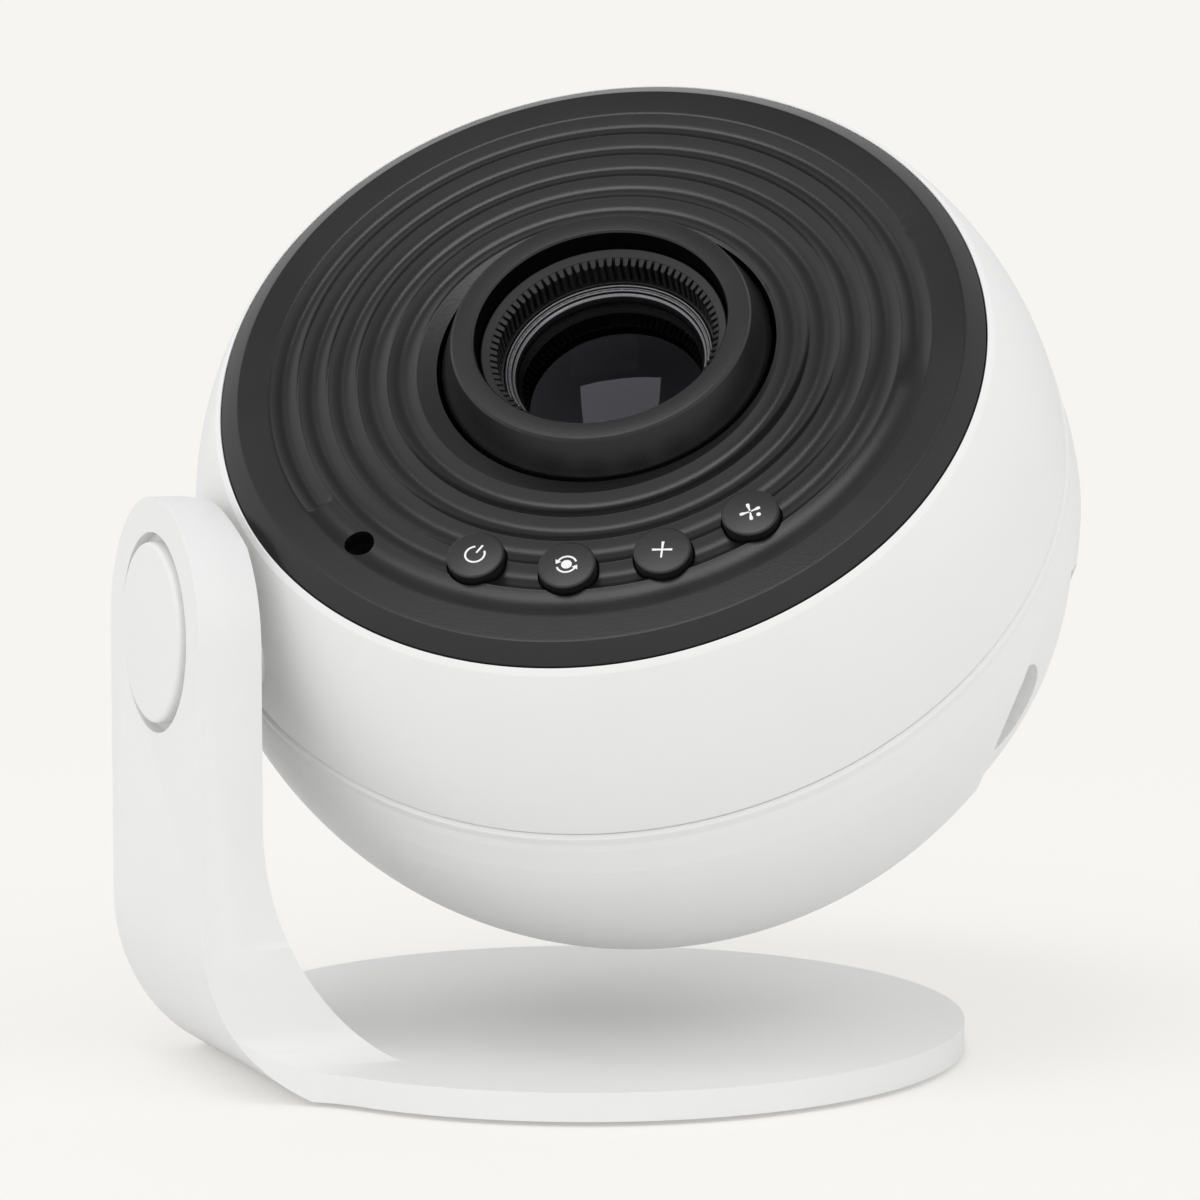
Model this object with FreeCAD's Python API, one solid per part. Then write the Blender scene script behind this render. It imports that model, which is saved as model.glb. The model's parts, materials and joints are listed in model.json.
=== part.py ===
import FreeCAD, Part
import math
import os

# Planetarium projector: a ball-shaped head on an L-shaped stand.
# Millimetres and degrees. Stand frame: +Z up, arm on -X, origin under the middle of the base disc.
# Head frame: origin at the ball's centre, +Z along the optical axis; it is placed once, at the end.

V = FreeCAD.Vector
ORIGIN = V(0, 0, 0)
UP = V(0, 0, 1)
ALONG_X = V(1, 0, 0)

fit_gap = 0.05                 # between pieces that sit face to face

# ---- ball and its attitude
ball_radius = 75.0
upper_radius = 73.5            # the upper shell is drawn in a little from the ball
wall = 2.8
shell_join_z = -6.5            # the lower shell is a ball below this, and straighter above it
head_x = 8.5                   # ball centre, from the middle of the base
head_z = 91.9
lean = 25.7                    # optical axis leans towards the arm
pitch = 39.5                   # and forwards
seam_low = 6.2                 # top of the lower shell, up the optical axis
seam_high = 6.6                # bottom of the upper shell
lip_radius = 69.7              # locating lip of the lower shell
lip_top_z = 9.4
lip_wall = 0.8
panel_ledge = 1.8              # the upper shell's ledge under the panel
panel_ledge_radius = 59.4

# ---- front panel
panel_radius = 62.7
panel_edge_z = 36.1
panel_top_z = 38.2
panel_low_z = 35.2
bevel_radius = 59.6
crest_outer = 54.3
crest_pitch = 4.9
crest_count = 6
ripple_depth = 1.1
sector_depths = (0.3, 0.7, 0.7)  # of the outer ripples in the sector that carries the buttons
shallow_from = 191.5
shallow_to = 331.5
panel_bore = 27.9
panel_gap = 0.15

# ---- optics, on an axis set slightly off the middle of the panel
lens_x = 1.4
ring_top_z = 44.1
ring_top_outer = 24.4
ring_top_inner = 20.65
ring_skirt = 27.0
ring_low_z = 30.0
guide_outer = 23.5
guide_bore = 20.3
guide_top_z = 33.2
barrel_outer = 20.22
barrel_bore = 17.3
barrel_top_z = 40.5
barrel_low_z = -10.0
teeth_low_z = 35.3
teeth_high_z = 39.7
knurl_teeth = 84
knurl_tip = 17.6
knurl_root = 18.35
lens_radius = 17.25
lens_seat = 1.5
retainer_low_z = 32.6
retainer_inner = 15.9
front_lens_z = (28.4, 32.5)    # each lens: lower and upper seat
middle_lens_z = (12.0, 14.5)
rear_lens_z = (-6.0, -2.5)
spacer_inner = 15.8

# ---- star disc drive
disc_low_z = -22.9
disc_high_z = -20.9
gear_module = 0.5
disc_teeth = 66
pinion_teeth = 12
gear_distance = gear_module * (disc_teeth + pinion_teeth) / 2
disc_bore = 13.75
film_radius = 12.8
tray_top_z = -23.0
tray_low_z = -25.0
tray_half = 16.5
tray_back = -48.0
tray_fork = 13.0               # half the gap between the tray's two arms
fork_root = -15.0
rail_back = -44.0
rail_front = 49.0
drawer_azimuth = -42.3
drawer_z = -22.8
drawer_radius = 20.0
drawer_hollow = 18.2
drawer_gap = 0.35
drawer_back = 52.0
drawer_face_radius = 61.0      # the drawer's front curves more than the ball
drawer_recess = 0.15
drawer_skin = 2.2
scoop_floor_radius = 68.3
scoop_radius = 8.0             # round finger scoop, across and up from the drawer's own axis
scoop_across = -13.8
scoop_up = 9.6

# ---- decks inside the head
upper_deck_z = -12.0
upper_deck_radius = 60.0
lower_deck_z = -27.0
lower_deck_radius = 46.0
deck_thickness = 2.0
holder_outer = 14.5
holder_bore = 12.6
led_board_z = -56.4
led_board_radius = 17.0
board_low_z = -9.0
board_thickness = 1.6
post_ring = 54.0               # the shell screws' posts
post_radius = 4.5
screw_radius = 1.5
screw_bore = 1.6
screw_head_radius = 3.1
screw_head_bore = 3.4
post_azimuths = (48.0, 138.0, 228.0)
screw_head_z = -46.0
socket_z = -26.0
vent_count = 12                # cooling slots round the bottom of the lower shell
vent_inner = 15.0
vent_outer = 29.0
vent_half = 1.1

# ---- buttons
button_ring = 45.5
button_middle = 255.0
button_step = 19.0
button_radius = 4.6
button_top_z = 39.7
button_board_z = 32.2
switch_height = 1.45
button_names = ("power_button", "rotate_button", "plus_button", "meteor_button")
port_ring = 51.8
port_azimuth = 204.0
port_radius = 2.4

# ---- stand
base_radius = 63.8
base_low = 0.8
base_high = 5.4
arm_half = 22.75
arm_outer_x = -76.5
plate = 4.9
arm_inner_x = -66.0
arm_draft = 0.8
outer_bend = 30.3              # outside of the bend, cut off by the underside
outer_bend_z = 27.8
inner_bend = 45.0              # inside of the bend, down to its toe
toe_bend = 12.0                # the toe, which runs out on the base's top
toe_start = 53.6               # degrees of the inner bend before the toe
draft_start_z = 45.0
draft_end_z = 25.0
foot_blend = 22.0              # hollow corner in plan between the arm's side and the rim
foot_fillet = 6.5              # hollow corner between the arm's side and the base's top
pivot_z = 73.7
arm_end_z = 72.8
recess_radius = 16.2
recess_depth = 2.0
pocket_radius = 11.0
pocket_floor_x = -70.5
cap_radius = 14.6
cap_face_x = -77.3
shaft_radius = 6.0
bush_outer = 8.0
dish_radius = 76.2
cover_radius = 57.0
cover_high = 1.7
weight_radius = 51.0
weight_high = 4.2
base_screw_ring = 54.0
base_screw_radius = 1.3
base_screw_tip = 4.6
base_screw_azimuths = (45, 135, 225, 315)
boss_radius = 10.0
boss_outer_x = -65.58
boss_inner_x = -56.7
flange_radius = 9.2
flange_thickness = 2.0
wire_bore = 3.6                # through the pivot shaft
shaft_end_x = -74.2


def whole(shape):
    """Give back the single solid inside a result, or the result itself."""
    return shape.Solids[0] if len(shape.Solids) == 1 else shape


def rod(radius, low, high, x=0.0, y=0.0):
    return Part.makeCylinder(radius, high - low, V(x, y, low), UP)


def tube(outer, inner, low, high, x=0.0, y=0.0):
    return rod(outer, low, high, x, y).cut(rod(inner, low - 1, high + 1, x, y))


def bar_x(radius, start, end, y=0.0, z=0.0):
    return Part.makeCylinder(radius, end - start, V(start, y, z), ALONG_X)


def block(x0, x1, y0, y1, z0, z1):
    return Part.makeBox(x1 - x0, y1 - y0, z1 - z0, V(x0, y0, z0))


def turn(shape, degrees):
    """A copy turned about the head's axis."""
    turned_copy = shape.copy()
    turned_copy.rotate(ORIGIN, UP, degrees)
    return turned_copy


def shift(shape, x, y=0.0, z=0.0):
    moved = shape.copy()
    moved.translate(V(x, y, z))
    return moved


def polar(radius, degrees):
    angle = math.radians(degrees)
    return radius * math.cos(angle), radius * math.sin(angle)


def fuse_all(shapes):
    return shapes[0].multiFuse(shapes[1:]) if len(shapes) > 1 else shapes[0]


def profile(points):
    """Straight-sided section in the XZ plane, from (radius, height) pairs."""
    corners = [V(r, 0, z) for r, z in points]
    return Part.makePolygon(corners + corners[:1])


def spin(wire, degrees=360.0):
    return Part.Face(wire).revolve(ORIGIN, UP, degrees)


def path(pieces):
    """A section from lines (two points) and arcs (three points), each a list of (radius, height)."""
    edges = []
    for piece in pieces:
        points = [V(r, 0, z) for r, z in piece]
        if len(points) == 3:
            edges.append(Part.Arc(points[0], points[1], points[2]).toShape())
        else:
            edges.append(Part.makeLine(points[0], points[1]))
    return Part.Wire(edges)


def on_sphere(radius, z):
    return math.sqrt(radius * radius - z * z)


def sphere_arc(radius, z_start, z_end):
    """Three points of a ball's section between two heights."""
    middle = radius * math.sin((math.asin(z_start / radius) + math.asin(z_end / radius)) / 2)
    return [(on_sphere(radius, z_start), z_start), (on_sphere(radius, middle), middle),
            (on_sphere(radius, z_end), z_end)]


# ------------------------------------------------------------------ head: placing
head_turn = FreeCAD.Rotation(V(1, 0, 0), pitch).multiply(FreeCAD.Rotation(V(0, 1, 0), -lean))
head_place = FreeCAD.Placement(V(head_x, 0, head_z), head_turn)


def to_stand(shape):
    """From the head frame to the stand frame."""
    return shape.transformed(head_place.toMatrix(), True)


def to_head(shape):
    """From the stand frame to the head frame."""
    return shape.transformed(head_place.inverse().toMatrix(), True)


# ------------------------------------------------------------------ stand
def side_wire(top_z):
    """Side view of the bend: one round outside, a long round and a small toe inside."""
    outer_x = arm_outer_x + outer_bend
    heel = math.asin((outer_bend_z - base_low) / outer_bend)
    toe = math.radians(toe_start)
    inner_x = arm_inner_x + inner_bend
    inner_z = base_high + toe_bend + (inner_bend - toe_bend) * math.sin(toe)
    toe_x = inner_x - (inner_bend - toe_bend) * math.cos(toe)
    toe_z = base_high + toe_bend

    def on_arc(x, z, radius, angle):
        return x - radius * math.cos(angle), z - radius * math.sin(angle)
    heel_point = on_arc(outer_x, outer_bend_z, outer_bend, heel)
    toe_point = on_arc(inner_x, inner_z, inner_bend, toe)
    return path([
        [(arm_outer_x, top_z), (arm_outer_x, outer_bend_z)],
        [(arm_outer_x, outer_bend_z), on_arc(outer_x, outer_bend_z, outer_bend, heel / 2), heel_point],
        [heel_point, (toe_x, base_low)],
        [(toe_x, base_low), (toe_x, base_high)],
        [(toe_x, base_high), on_arc(toe_x, toe_z, toe_bend, (toe + math.pi / 2) / 2), toe_point],
        [toe_point, on_arc(inner_x, inner_z, inner_bend, toe / 2), (arm_inner_x, inner_z)],
        [(arm_inner_x, inner_z), (arm_inner_x, top_z)],
        [(arm_inner_x, top_z), (arm_outer_x, top_z)]])


def arm_outline(x, half):
    """Front view of the arm above the bend: straight sides and a round end."""
    corners = [V(x, -half, draft_start_z), V(x, -half, arm_end_z), V(x, 0, arm_end_z + half),
               V(x, half, arm_end_z), V(x, half, draft_start_z)]
    return Part.Wire([Part.makeLine(corners[0], corners[1]),
                      Part.Arc(corners[1], corners[2], corners[3]).toShape(),
                      Part.makeLine(corners[3], corners[4]),
                      Part.makeLine(corners[4], corners[0])])


def draft_wedge():
    """What the draft takes off the web's near side, fading out down the bend."""
    start = arm_outer_x + plate
    reach = 14.0
    slope = arm_draft / (arm_inner_x - start)

    def triangle(z, depth):
        corners = [V(start, -arm_half, z), V(start + reach, -arm_half, z),
                   V(start + reach, -arm_half + depth, z)]
        return Part.makePolygon(corners + corners[:1])
    return Part.makeLoft([triangle(draft_start_z, slope * reach), triangle(draft_end_z, 0.02)], True, True)


def foot_blends():
    """Hollow corners where the arm's near and far sides run into the disc: in plan, and up from its top."""
    centre_y = arm_half + foot_blend
    centre_x = -math.sqrt((base_radius + foot_blend) ** 2 - centre_y ** 2)
    touch = base_radius / (base_radius + foot_blend)
    fillet_y, fillet_z = arm_half + foot_fillet, base_high + foot_fillet
    sheet = Part.Face(side_wire(draft_start_z)).extrude(V(0, 4 * arm_half, 0))
    sheet.translate(V(0, -2 * arm_half, 0))
    corner = block(centre_x, centre_x * touch + 4.0, arm_half - 1.0, centre_y * touch, base_low, fillet_z)
    corner = corner.cut(rod(foot_blend, 0, 2 * fillet_z, centre_x, centre_y))
    flat = corner.common(block(centre_x, 0, 0, centre_y, base_low, base_high))
    fillet = block(centre_x, 0, arm_half - 1.0, fillet_y, base_high - 1.0, fillet_z)
    fillet = fillet.cut(bar_x(foot_fillet, centre_x - 1, 1, fillet_y, fillet_z))
    fillet = fillet.common(corner.fuse(rod(base_radius, base_low, fillet_z)))
    near = [flat.common(sheet), fillet.common(sheet)]
    return near + [piece.mirror(ORIGIN, V(0, 1, 0)) for piece in near]


def under_bend():
    """The space outside the bend, where the disc's rim would show under the arm."""
    bend_x = arm_outer_x + outer_bend
    space = block(arm_outer_x - 1, bend_x, -2 * arm_half, 2 * arm_half, base_low - 1, outer_bend_z)
    return space.cut(Part.makeCylinder(outer_bend, 4 * arm_half, V(bend_x, -2 * arm_half, outer_bend_z), V(0, 1, 0)))


def make_stand_body():
    seam_x = arm_outer_x + plate
    arm_plate = Part.Face(arm_outline(arm_outer_x, arm_half)).extrude(V(plate, 0, 0))
    arm_back = Part.makeLoft([arm_outline(seam_x, arm_half),
                              arm_outline(arm_inner_x, arm_half - arm_draft)], True, True)
    bend = Part.Face(side_wire(draft_start_z)).extrude(V(0, 2 * arm_half, 0))
    bend.translate(V(0, -arm_half, 0))
    wedge = draft_wedge()
    bend = bend.cut(wedge).cut(wedge.mirror(ORIGIN, V(0, 1, 0)))
    disc = rod(base_radius, base_low, base_high).cut(under_bend())
    body = fuse_all([arm_plate, arm_back, bend, disc] + foot_blends()).removeSplitter()
    dish = Part.makeSphere(dish_radius, V(head_x, 0, head_z))
    bearing_land = bar_x(boss_radius + 0.5, arm_outer_x, 0, 0, pivot_z)
    cuts = [dish.cut(bearing_land),
            bar_x(recess_radius, arm_outer_x - 1, arm_outer_x + recess_depth, 0, pivot_z),
            bar_x(pocket_radius, arm_outer_x, pocket_floor_x, 0, pivot_z),
            bar_x(bush_outer + 0.02, arm_outer_x, arm_inner_x + 1, 0, pivot_z),
            rod(cover_radius + 0.2, base_low - 1, cover_high),
            rod(weight_radius + 0.3, base_low, weight_high + 0.05)]
    for x, y in base_screw_places():
        cuts.append(rod(base_screw_radius + 0.02, base_low, base_screw_tip, x, y))
    return whole(body.cut(fuse_all(cuts)))


def base_screw_places():
    return [polar(base_screw_ring, azimuth) for azimuth in base_screw_azimuths]


def make_base_cover():
    cover = rod(cover_radius, base_low, cover_high - 0.05)
    for x, y in base_screw_places():
        cover = cover.cut(rod(2.2, 0, 5, x, y))
    return whole(cover)


def make_base_screws():
    screws = []
    for x, y in base_screw_places():
        head = rod(2.0, base_low + 0.05, cover_high - 0.05, x, y)
        thread = rod(base_screw_radius, cover_high - 0.1, base_screw_tip - 0.1, x, y)
        screws.append(whole(head.fuse(thread)))
    return Part.makeCompound(screws)


def make_pivot_bush():
    bush = bar_x(bush_outer, pocket_floor_x + 0.05, arm_inner_x - 0.05, 0, pivot_z)
    return whole(bush.cut(bar_x(shaft_radius + 0.05, -90, -50, 0, pivot_z)))


def washer(outer, inner, start, end):
    return whole(bar_x(outer, start, end, 0, pivot_z).cut(bar_x(inner, start - 1, end + 1, 0, pivot_z)))


def make_pivot_cap():
    face = bar_x(cap_radius, cap_face_x, cap_face_x + 2.6, 0, pivot_z)
    outer_edges = [edge for edge in face.Edges if edge.BoundBox.XMax < cap_face_x + 0.1]
    face = face.makeFillet(0.7, outer_edges)
    spigot = bar_x(pocket_radius - 0.05, cap_face_x + 2.5, cap_face_x + 4.2, 0, pivot_z)
    spigot = spigot.cut(bar_x(pocket_radius - 1.2, cap_face_x + 2.6, cap_face_x + 5.0, 0, pivot_z))
    return whole(face.fuse(spigot))


def make_pivot_shaft():
    shaft = bar_x(shaft_radius, shaft_end_x, boss_inner_x + flange_thickness, 0, pivot_z)
    flange = bar_x(flange_radius, boss_inner_x, boss_inner_x + flange_thickness, 0, pivot_z)
    return whole(shaft.fuse(flange).cut(bar_x(wire_bore, -90, -40, 0, pivot_z)))


def make_pivot_nut():
    across = 8.9
    corners = [V(shaft_end_x + 0.2, across * math.cos(math.radians(60 * i)),
                 pivot_z + across * math.sin(math.radians(60 * i))) for i in range(6)]
    nut = Part.Face(Part.makePolygon(corners + corners[:1])).extrude(V(2.3, 0, 0))
    return whole(nut.cut(bar_x(shaft_radius + 0.02, -90, -50, 0, pivot_z)))


# ------------------------------------------------------------------ head: shells
def make_upper_shell():
    inner = upper_radius - wall
    ledge_low = panel_low_z - panel_ledge
    outer_top = (64.0, 35.2)
    rim = (panel_radius + panel_gap, 36.3)
    section = path([
        [(73.24, seam_high), (70.62, 20.6), outer_top],
        [outer_top, rim],
        [rim, (rim[0], panel_low_z)],
        [(rim[0], panel_low_z), (panel_ledge_radius, panel_low_z)],
        [(panel_ledge_radius, panel_low_z), (panel_ledge_radius, ledge_low)],
        [(panel_ledge_radius, ledge_low), (on_sphere(inner, ledge_low), ledge_low)],
        sphere_arc(inner, ledge_low, seam_high),
        [(on_sphere(inner, seam_high), seam_high), (73.24, seam_high)]])
    shell = to_stand(spin(section))
    boss = bar_x(boss_radius, boss_outer_x, boss_inner_x, 0, pivot_z)
    shell = shell.fuse(boss).cut(bar_x(shaft_radius + 0.05, -90, -40, 0, pivot_z))
    return whole(shell)


def drawer_bar(radius, start, end, across=0.0, up=0.0):
    """A round bar along the drawer's travel, in the head frame."""
    return turn(bar_x(radius, start, end, across, drawer_z + up), drawer_azimuth)


def make_lower_shell():
    inner = ball_radius - wall - 0.3
    join = (on_sphere(ball_radius, shell_join_z), shell_join_z)
    lip_inner = lip_radius - lip_wall
    section = path([
        [(0, -ball_radius), polar(ball_radius, -50), join],
        [join, (74.28, 0.6), (73.35, 5.7)],
        [(73.35, 5.7), (73.0, seam_low)],
        [(73.0, seam_low), (lip_radius, seam_low)],
        [(lip_radius, seam_low), (lip_radius, lip_top_z)],
        [(lip_radius, lip_top_z), (lip_inner, lip_top_z)],
        [(lip_inner, lip_top_z), (lip_inner, 3.0)],
        [(lip_inner, 3.0), (on_sphere(inner, 0.5), 0.5)],
        [(on_sphere(inner, 0.5), 0.5), polar(inner, -45), (0, -inner)],
        [(0, -inner), (0, -ball_radius)]])
    shell = spin(section)
    posts = []
    for azimuth in post_azimuths:
        x, y = polar(post_ring, azimuth)
        posts.append(rod(post_radius, -56, upper_deck_z - deck_thickness, x, y))
    posts = fuse_all(posts).common(Part.makeSphere(ball_radius - 1.0))
    shell = shell.fuse(posts)
    cuts = [drawer_bar(drawer_radius + drawer_gap, 50, 95),
            block(-5.4, 5.4, 60, 80, socket_z - 3.2, socket_z + 3.2),
            to_head(bar_x(boss_radius + 0.5, -90, -50, 0, pivot_z))]
    for azimuth in post_azimuths:
        x, y = polar(post_ring, azimuth)
        cuts.append(rod(screw_bore, -80, 0, x, y))
        cuts.append(rod(screw_head_bore, -80, screw_head_z, x, y))
    for i in range(vent_count):
        vent = block(vent_inner, vent_outer, -vent_half, vent_half, -80, -55)
        cuts.append(turn(vent, i * 360.0 / vent_count))
    return whole(shell.cut(fuse_all(cuts)))


def make_shell_screws():
    screws = []
    for azimuth in post_azimuths:
        x, y = polar(post_ring, azimuth)
        head = rod(screw_head_radius, screw_head_z - 2.4, screw_head_z - 0.02, x, y)
        head = head.cut(rod(1.3, screw_head_z - 3, screw_head_z - 1.2, x, y))
        screws.append(whole(head.fuse(rod(screw_radius, screw_head_z - 0.1, upper_deck_z, x, y))))
    return Part.makeCompound(screws)


def ripple_cutter(outer, depth, land, degrees=360.0):
    """Hollows one concave ripple; the lands left between neighbours are the crests."""
    inner = outer - crest_pitch
    lid_z = panel_top_z + 1.0
    section = path([
        [(outer - land, panel_top_z), ((outer + inner) / 2, panel_top_z - depth), (inner + land, panel_top_z)],
        [(inner + land, panel_top_z), (inner + land, lid_z)],
        [(inner + land, lid_z), (outer - land, lid_z)],
        [(outer - land, lid_z), (outer - land, panel_top_z)]])
    return spin(section, degrees)


def make_front_panel():
    inner_radius = panel_bore - 1.5
    panel = spin(profile([(panel_radius, panel_low_z), (panel_radius, panel_edge_z),
                          (bevel_radius, panel_top_z), (inner_radius + 2.0, panel_top_z),
                          (inner_radius, panel_top_z - 1.2), (inner_radius, panel_low_z)]))
    for azimuth in (button_middle - button_step, button_middle + button_step):
        x, y = polar(button_ring, azimuth)
        panel = panel.fuse(rod(2.0, button_board_z, panel_low_z + 0.2, x, y))
    deep_span = 360.0 - (shallow_to - shallow_from)
    for i in range(crest_count - 1):
        outer = crest_outer - i * crest_pitch
        if i < len(sector_depths):
            panel = panel.cut(ripple_cutter(outer, sector_depths[i], 0.3))
            panel = panel.cut(turn(ripple_cutter(outer, ripple_depth, 0.12, deep_span), shallow_to))
        else:
            panel = panel.cut(ripple_cutter(outer, ripple_depth * 0.8, 0.12))
    cuts = [rod(panel_bore, 30, 50, lens_x)]
    for azimuth in button_azimuths():
        x, y = polar(button_ring, azimuth)
        cuts.append(rod(button_radius + 0.25, 30, 50, x, y))
    x, y = polar(port_ring, port_azimuth)
    cuts.append(rod(port_radius, 30, 50, x, y))
    return whole(panel.cut(fuse_all(cuts)))


def button_azimuths():
    first = button_middle - 1.5 * button_step
    return [first + i * button_step for i in range(len(button_names))]


def make_button(azimuth):
    x, y = polar(button_ring, azimuth)
    cap = rod(button_radius, panel_low_z - 0.1, button_top_z, x, y)
    top_edges = [edge for edge in cap.Edges if edge.BoundBox.ZMin > button_top_z - 0.01]
    cap = cap.makeFillet(0.35, top_edges)
    return whole(cap.fuse(rod(button_radius + 0.8, panel_low_z - 0.8, panel_low_z - 0.1, x, y)))


def make_button_board():
    span = 4 * button_step + 4
    board = tube(52.0, 39.5, button_board_z - board_thickness, button_board_z)
    wedge = spin(profile([(30, 25), (60, 25), (60, 40), (30, 40)]), span)
    board = board.common(turn(wedge, button_middle - span / 2))
    switches = []
    for azimuth in button_azimuths():
        switch = block(button_ring - 3, button_ring + 3, -3, 3, button_board_z - 0.1,
                       button_board_z + switch_height)
        switches.append(turn(switch, azimuth))
    return whole(fuse_all([board] + switches))


# ------------------------------------------------------------------ head: optics
def make_focus_ring():
    outer_low = panel_top_z - 0.3
    section = profile([(ring_skirt, ring_low_z), (ring_skirt, outer_low), (ring_top_outer + 0.2, ring_top_z - 0.4),
                       (ring_top_outer, ring_top_z), (ring_top_inner + 0.3, ring_top_z),
                       (ring_top_inner, ring_top_z - 0.3), (ring_top_inner, guide_top_z + 0.3),
                       (guide_outer + 0.1, guide_top_z + 0.3), (guide_outer + 0.1, ring_low_z)])
    return shift(spin(section), lens_x)


def make_lens_guide():
    flange_top = upper_deck_z + 2.0
    guide = tube(guide_outer, guide_bore, upper_deck_z, guide_top_z)
    flange = tube(29.0, guide_bore, upper_deck_z, flange_top)
    return shift(whole(guide.fuse(flange)), lens_x)


def knurl_cutter():
    """A star-shaped bar that leaves fine teeth round the barrel's mouth."""
    step = 360.0 / knurl_teeth
    corners = []
    for i in range(knurl_teeth):
        for share, radius in ((0.05, knurl_tip), (0.4, knurl_tip), (0.55, knurl_root), (0.9, knurl_root)):
            x, y = polar(radius, step * (i + share))
            corners.append(V(x, y, teeth_low_z))
    face = Part.Face(Part.makePolygon(corners + corners[:1]))
    return face.extrude(V(0, 0, teeth_high_z - teeth_low_z + 0.01))


def make_lens_barrel():
    barrel = tube(barrel_outer, barrel_bore, barrel_low_z, barrel_top_z)
    mouth = spin(profile([(0, teeth_high_z), (knurl_root, teeth_high_z), (20.0, barrel_top_z),
                          (20.0, barrel_top_z + 1), (0, barrel_top_z + 1)]))
    return shift(whole(barrel.cut(knurl_cutter()).cut(mouth)), lens_x)


def dome_middle(reach, bulge):
    """Half way down a dome that stands on the axis: its radius, and its drop from the top."""
    dome_radius = (reach ** 2 + bulge ** 2) / (2 * bulge)
    half_angle = math.asin(reach / dome_radius) / 2
    return dome_radius * math.sin(half_angle), dome_radius * (1 - math.cos(half_angle))


def lens(radius, low, high, bulge_low, bulge_high):
    """A lens whose two domes stand inside a flat seat."""
    clear = radius - lens_seat
    low_r, low_drop = dome_middle(clear, bulge_low)
    high_r, high_drop = dome_middle(clear, bulge_high)
    section = path([
        [(0, low - bulge_low), (low_r, low - bulge_low + low_drop), (clear, low)],
        [(clear, low), (radius, low)],
        [(radius, low), (radius, high)],
        [(radius, high), (clear, high)],
        [(clear, high), (high_r, high + bulge_high - high_drop), (0, high + bulge_high)],
        [(0, high + bulge_high), (0, low - bulge_low)]])
    return shift(spin(section), lens_x)


def make_lens_retainer():
    section = profile([(lens_radius, retainer_low_z), (lens_radius, teeth_low_z),
                       (lens_radius - 0.35, teeth_low_z), (retainer_inner, retainer_low_z + 0.8),
                       (retainer_inner, retainer_low_z)])
    return shift(spin(section), lens_x)


def make_spacer(low, high):
    return shift(tube(lens_radius, spacer_inner, low + fit_gap, high - fit_gap), lens_x)


# ------------------------------------------------------------------ head: decks, lamp and drive
def gear(teeth, low, high, tooth_azimuth):
    """A spur gear with straight-flanked teeth and ample backlash."""
    pitch_radius = gear_module * teeth / 2
    tip = pitch_radius + gear_module
    root = pitch_radius - 1.25 * gear_module
    step = 360.0 / teeth
    corners = []
    for i in range(teeth):
        middle = tooth_azimuth + i * step
        for share, radius in ((-0.27, root), (-0.11, tip), (0.11, tip), (0.27, root)):
            x, y = polar(radius, middle + share * step)
            corners.append(V(x, y, low))
    return Part.Face(Part.makePolygon(corners + corners[:1])).extrude(V(0, 0, high - low))


def pinion_place():
    x, y = polar(gear_distance, drawer_azimuth + 180)
    return x + lens_x, y


def make_disc_gear():
    ring = gear(disc_teeth, disc_low_z, disc_high_z, drawer_azimuth + 180)
    ring = ring.cut(rod(disc_bore, disc_low_z - 1, disc_low_z + 1.0))
    return shift(whole(ring.cut(rod(film_radius, disc_low_z, disc_high_z + 1))), lens_x)


def make_star_film():
    return shift(rod(film_radius - 0.02, disc_low_z + 1.2, disc_low_z + 1.4), lens_x)


def make_motor_pinion():
    x, y = pinion_place()
    pinion = gear(pinion_teeth, disc_low_z, disc_high_z, drawer_azimuth + 180.0 / pinion_teeth)
    return shift(whole(pinion.cut(rod(0.75, -40, 0))), x, y)


def make_motor_shaft():
    x, y = pinion_place()
    return rod(0.74, lower_deck_z - deck_thickness + 0.1, disc_high_z + 0.4, x, y)


def make_disc_motor():
    x, y = pinion_place()
    can = rod(4.5, -44.0, lower_deck_z - deck_thickness - 0.6, x, y)
    nose = rod(2.0, lower_deck_z - deck_thickness - 0.7, lower_deck_z - deck_thickness, x, y)
    return whole(can.fuse(nose))


def make_disc_tray():
    """The forked tray, with a collar on which the star disc's ring turns."""
    tray = block(tray_back, drawer_back + 10, -tray_half, tray_half, tray_low_z, tray_top_z)
    tray = tray.cut(block(tray_back - 1, fork_root, -tray_fork, tray_fork, -40, 0))
    tray = turn(tray, drawer_azimuth)
    collar = rod(disc_bore - 0.08, tray_low_z, disc_low_z + 0.8, lens_x)
    light_hole = rod(film_radius - 0.3, -40, 0, lens_x)
    reach = Part.makeSphere(scoop_floor_radius - drawer_skin - 0.2)
    return whole(tray.fuse(collar).cut(light_hole).common(reach))


def make_disc_door():
    """The drawer's hollow front, with a round finger scoop at its edge and a tongue under the tray."""
    tip = ball_radius - drawer_recess - drawer_face_radius
    tip_z = tip * drawer_z / ball_radius
    face = turn(Part.makeSphere(drawer_face_radius, V(on_sphere(tip, tip_z), 0, tip_z)), drawer_azimuth)
    plug = drawer_bar(drawer_radius, drawer_back, 90).common(face)
    scoop = drawer_bar(scoop_radius, drawer_back, 90, scoop_across, scoop_up)
    scoop = scoop.cut(Part.makeSphere(scoop_floor_radius))
    hollow = drawer_bar(drawer_hollow, 40, 90).common(Part.makeSphere(scoop_floor_radius - drawer_skin))
    tongue = turn(block(rail_front, drawer_back + 12, -8, 8, tray_low_z - 2.0, tray_low_z), drawer_azimuth)
    return whole(plug.cut(scoop).cut(hollow).fuse(tongue))


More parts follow.
